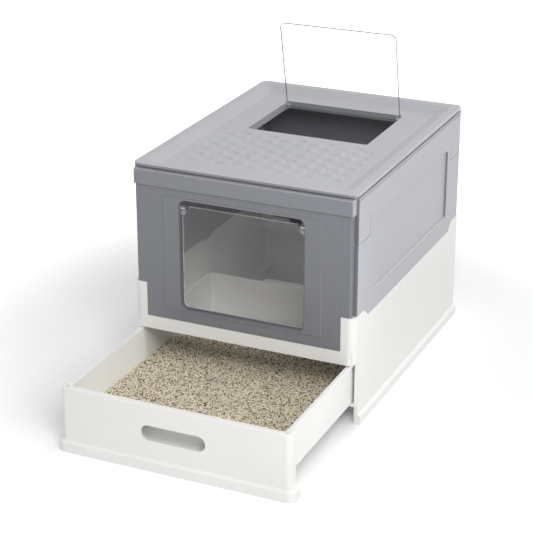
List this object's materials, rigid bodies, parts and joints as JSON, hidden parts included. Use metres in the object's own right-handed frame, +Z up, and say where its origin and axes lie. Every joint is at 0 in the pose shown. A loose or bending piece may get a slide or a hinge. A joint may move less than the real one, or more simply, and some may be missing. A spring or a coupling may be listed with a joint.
{
  "type": "foldable litter box",
  "caption": "Enclosed folding litter box: white base with pull-out drawer, grey fold-in walls, lift-off lid, clear entry flap at the front and clear hatch on top.",
  "frame": {"origin": "on the floor under the middle of the base, at the height of the plinth's underside", "axes": "+Z up, the front and its drawer face -Y, +X to the right of someone who faces the front"},
  "size_m": [0.406, 0.7735, 0.5471],
  "materials": {
    "white_pp": "fine satin moulded polypropylene, white",
    "grey_pp": "fine satin moulded polypropylene, cool grey",
    "clear_sheet": "clear polished sheet",
    "clear_clip": "clear moulded plastic",
    "steel_pin": "plain drawn wire",
    "clay_litter": "loose dry clay grains, beige and tan"
  },
  "bodies": {
    "base": {"base_frame": "white_pp", "front_hinge_pins": "steel_pin", "rear_hinge_pins": "steel_pin", "left_hinge_pins": "steel_pin", "right_hinge_pins": "steel_pin"},
    "drawer": {"drawer_tray": "white_pp", "drawer_front": "white_pp", "litter_bed": "clay_litter"},
    "front_wall": {"front_panel": "grey_pp"},
    "front_door": {"front_flap": "clear_sheet", "front_flap_clips": "clear_clip", "front_flap_pins": "steel_pin"},
    "rear_wall": {"rear_panel": "grey_pp"},
    "left_wall": {"left_panel": "grey_pp"},
    "right_wall": {"right_panel": "grey_pp"},
    "lid": {"lid": "grey_pp"},
    "top_door": {"top_flap": "clear_sheet", "top_flap_clips": "clear_clip", "top_flap_pins": "steel_pin"},
    "left_front_latch": {"left_front_latch": "grey_pp"},
    "left_rear_latch": {"left_rear_latch": "grey_pp"},
    "right_front_latch": {"right_front_latch": "grey_pp"},
    "right_rear_latch": {"right_rear_latch": "grey_pp"}
  },
  "joints": [
    {"name": "drawer_slide", "type": "slide", "parent": "base", "child": "drawer", "axis": [0, -1, 0], "range_m": [-0.247, 0.15]},
    {"name": "front_wall_fold", "type": "hinge", "parent": "base", "child": "front_wall", "pos_m": [0, -0.2415, 0.132], "axis": [-1, 0, 0], "range_deg": [0, 90]},
    {"name": "rear_wall_fold", "type": "hinge", "parent": "base", "child": "rear_wall", "pos_m": [0, 0.2415, 0.132], "axis": [1, 0, 0], "range_deg": [0, 90]},
    {"name": "left_wall_fold", "type": "hinge", "parent": "base", "child": "left_wall", "pos_m": [-0.1909, 0, 0.177], "axis": [0, -1, 0], "range_deg": [-87.5, 0]},
    {"name": "right_wall_fold", "type": "hinge", "parent": "base", "child": "right_wall", "pos_m": [0.1909, 0, 0.177], "axis": [0, 1, 0], "range_deg": [-90, 0]},
    {"name": "lid_lift", "type": "slide", "parent": "base", "child": "lid", "axis": [0, 0, 1], "range_m": [0, 0.12]},
    {"name": "front_flap_swing", "type": "hinge", "parent": "front_wall", "child": "front_door", "pos_m": [0, -0.2525, 0.333], "axis": [-1, 0, 0], "range_deg": [-80, 80]},
    {"name": "top_flap_swing", "type": "hinge", "parent": "lid", "child": "top_door", "pos_m": [0, 0.1685, 0.3875], "axis": [-1, 0, 0], "range_deg": [-78, 30]},
    {"name": "left_front_latch_press", "type": "slide", "parent": "left_wall", "child": "left_front_latch", "axis": [1, 0, 0], "range_m": [0, 0.0012], "stiffness_N_per_m": 600},
    {"name": "left_rear_latch_press", "type": "slide", "parent": "left_wall", "child": "left_rear_latch", "axis": [1, 0, 0], "range_m": [0, 0.0012], "stiffness_N_per_m": 600},
    {"name": "right_front_latch_press", "type": "slide", "parent": "right_wall", "child": "right_front_latch", "axis": [-1, 0, 0], "range_m": [0, 0.0012], "stiffness_N_per_m": 600},
    {"name": "right_rear_latch_press", "type": "slide", "parent": "right_wall", "child": "right_rear_latch", "axis": [-1, 0, 0], "range_m": [0, 0.0012], "stiffness_N_per_m": 600}
  ]
}
